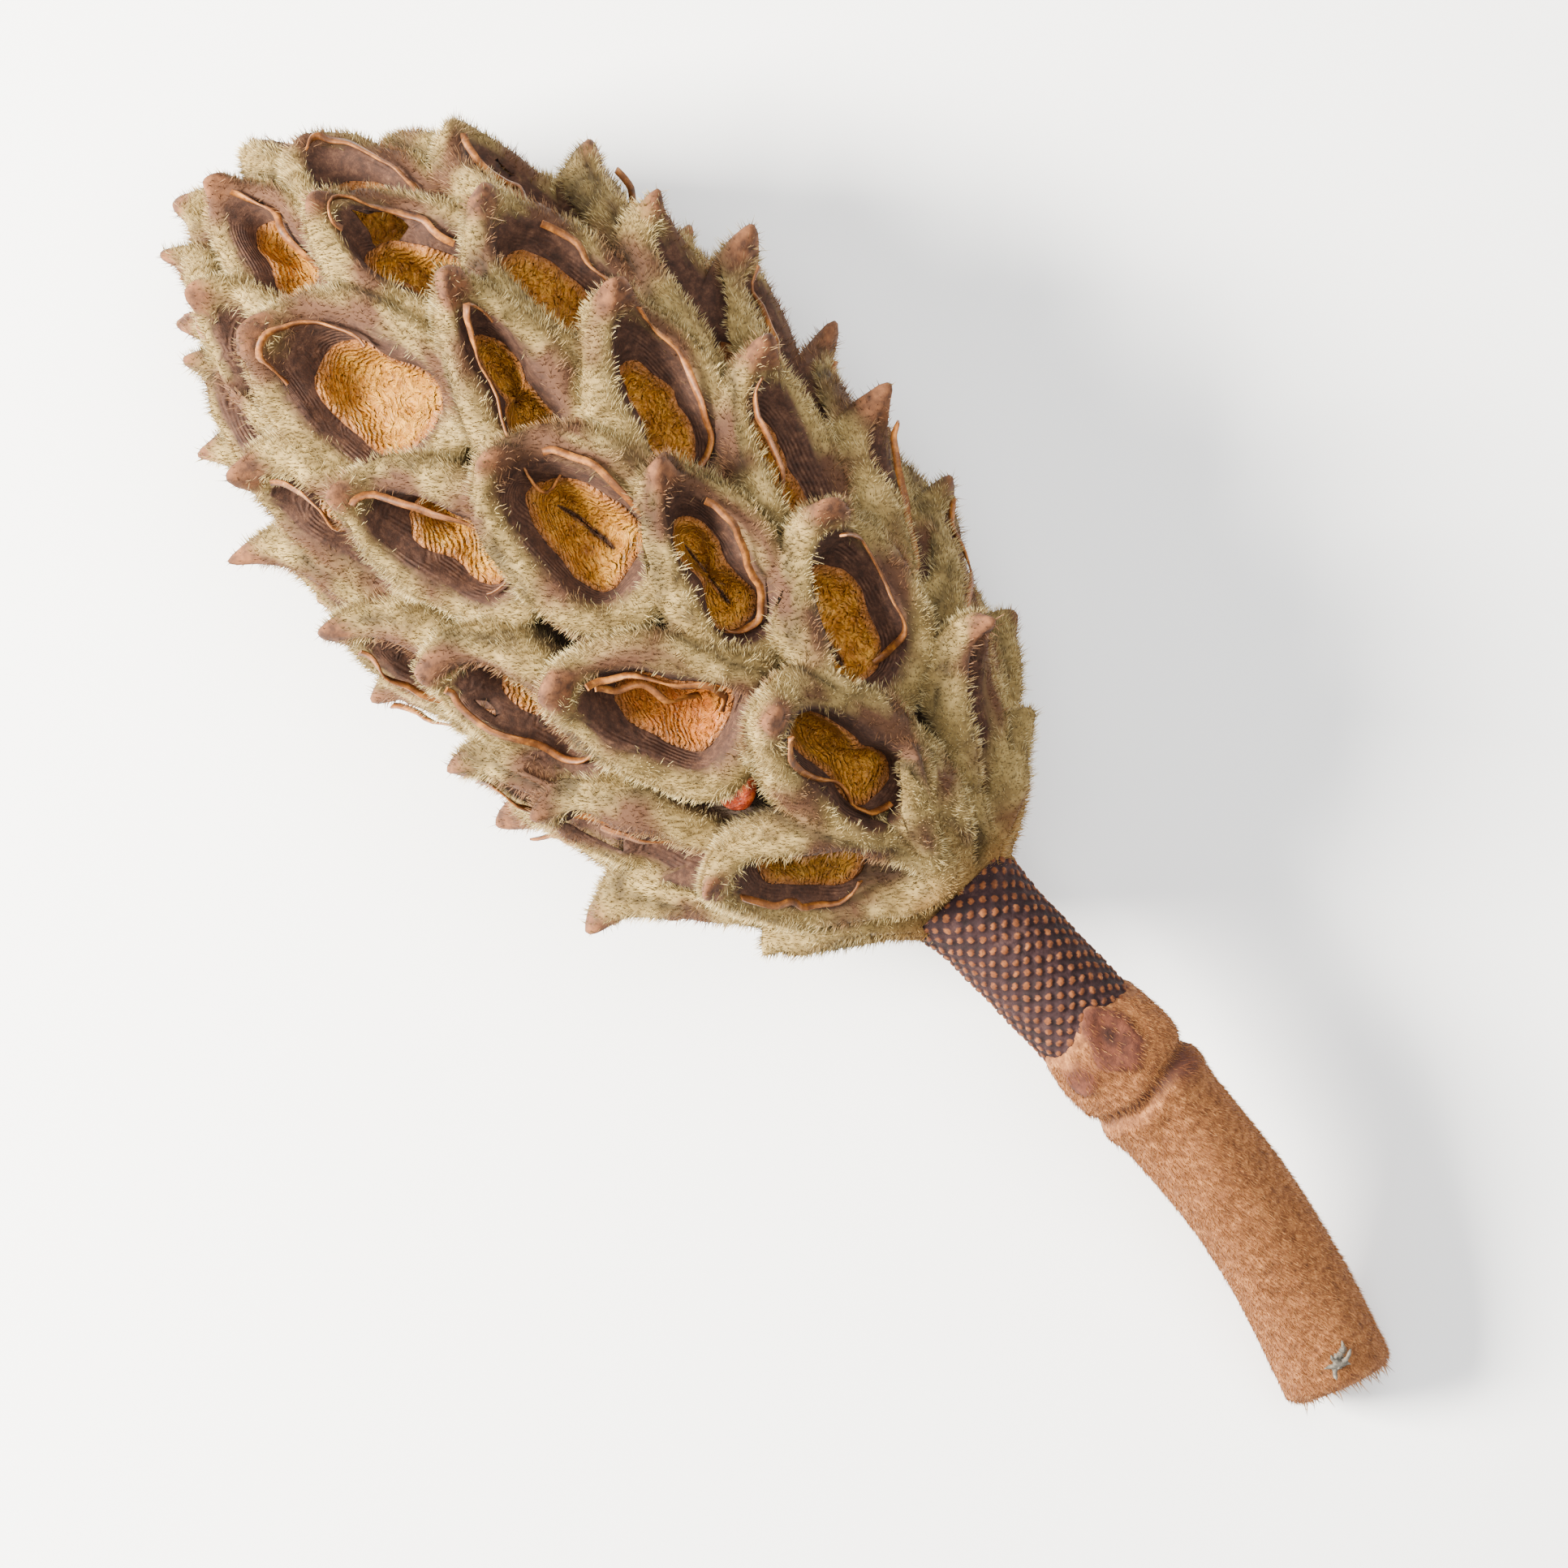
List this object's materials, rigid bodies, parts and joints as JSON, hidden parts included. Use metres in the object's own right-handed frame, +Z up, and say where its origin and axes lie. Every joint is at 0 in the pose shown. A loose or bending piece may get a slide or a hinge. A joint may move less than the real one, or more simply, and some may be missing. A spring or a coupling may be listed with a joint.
{
  "type": "magnolia seed pod",
  "caption": "Dried southern magnolia seed pod lying on its side: a felted cone of split, empty follicles with beaked tips, on a scarred band and a bent cut twig.",
  "frame": {"origin": "centre of the underside of the bounding box, on the surface that the pod lies on", "axes": "+X along the head's axis from the twig to the tip, +Z up, away from the surface"},
  "size_m": [0.1492, 0.0525, 0.0475],
  "materials": {
    "felted_follicles": "dry woody husk under short olive-cream wool",
    "scarred_bark": "dark purple-brown skin with raised orange scars",
    "felted_twig": "bark under short tan-brown felt",
    "dried_seed_skin": "shrunken red-orange skin, slightly waxy"
  },
  "bodies": {
    "root": {"head": "felted_follicles", "scar_band": "scarred_bark", "twig": "felted_twig", "seed": "dried_seed_skin"}
  },
  "joints": []
}
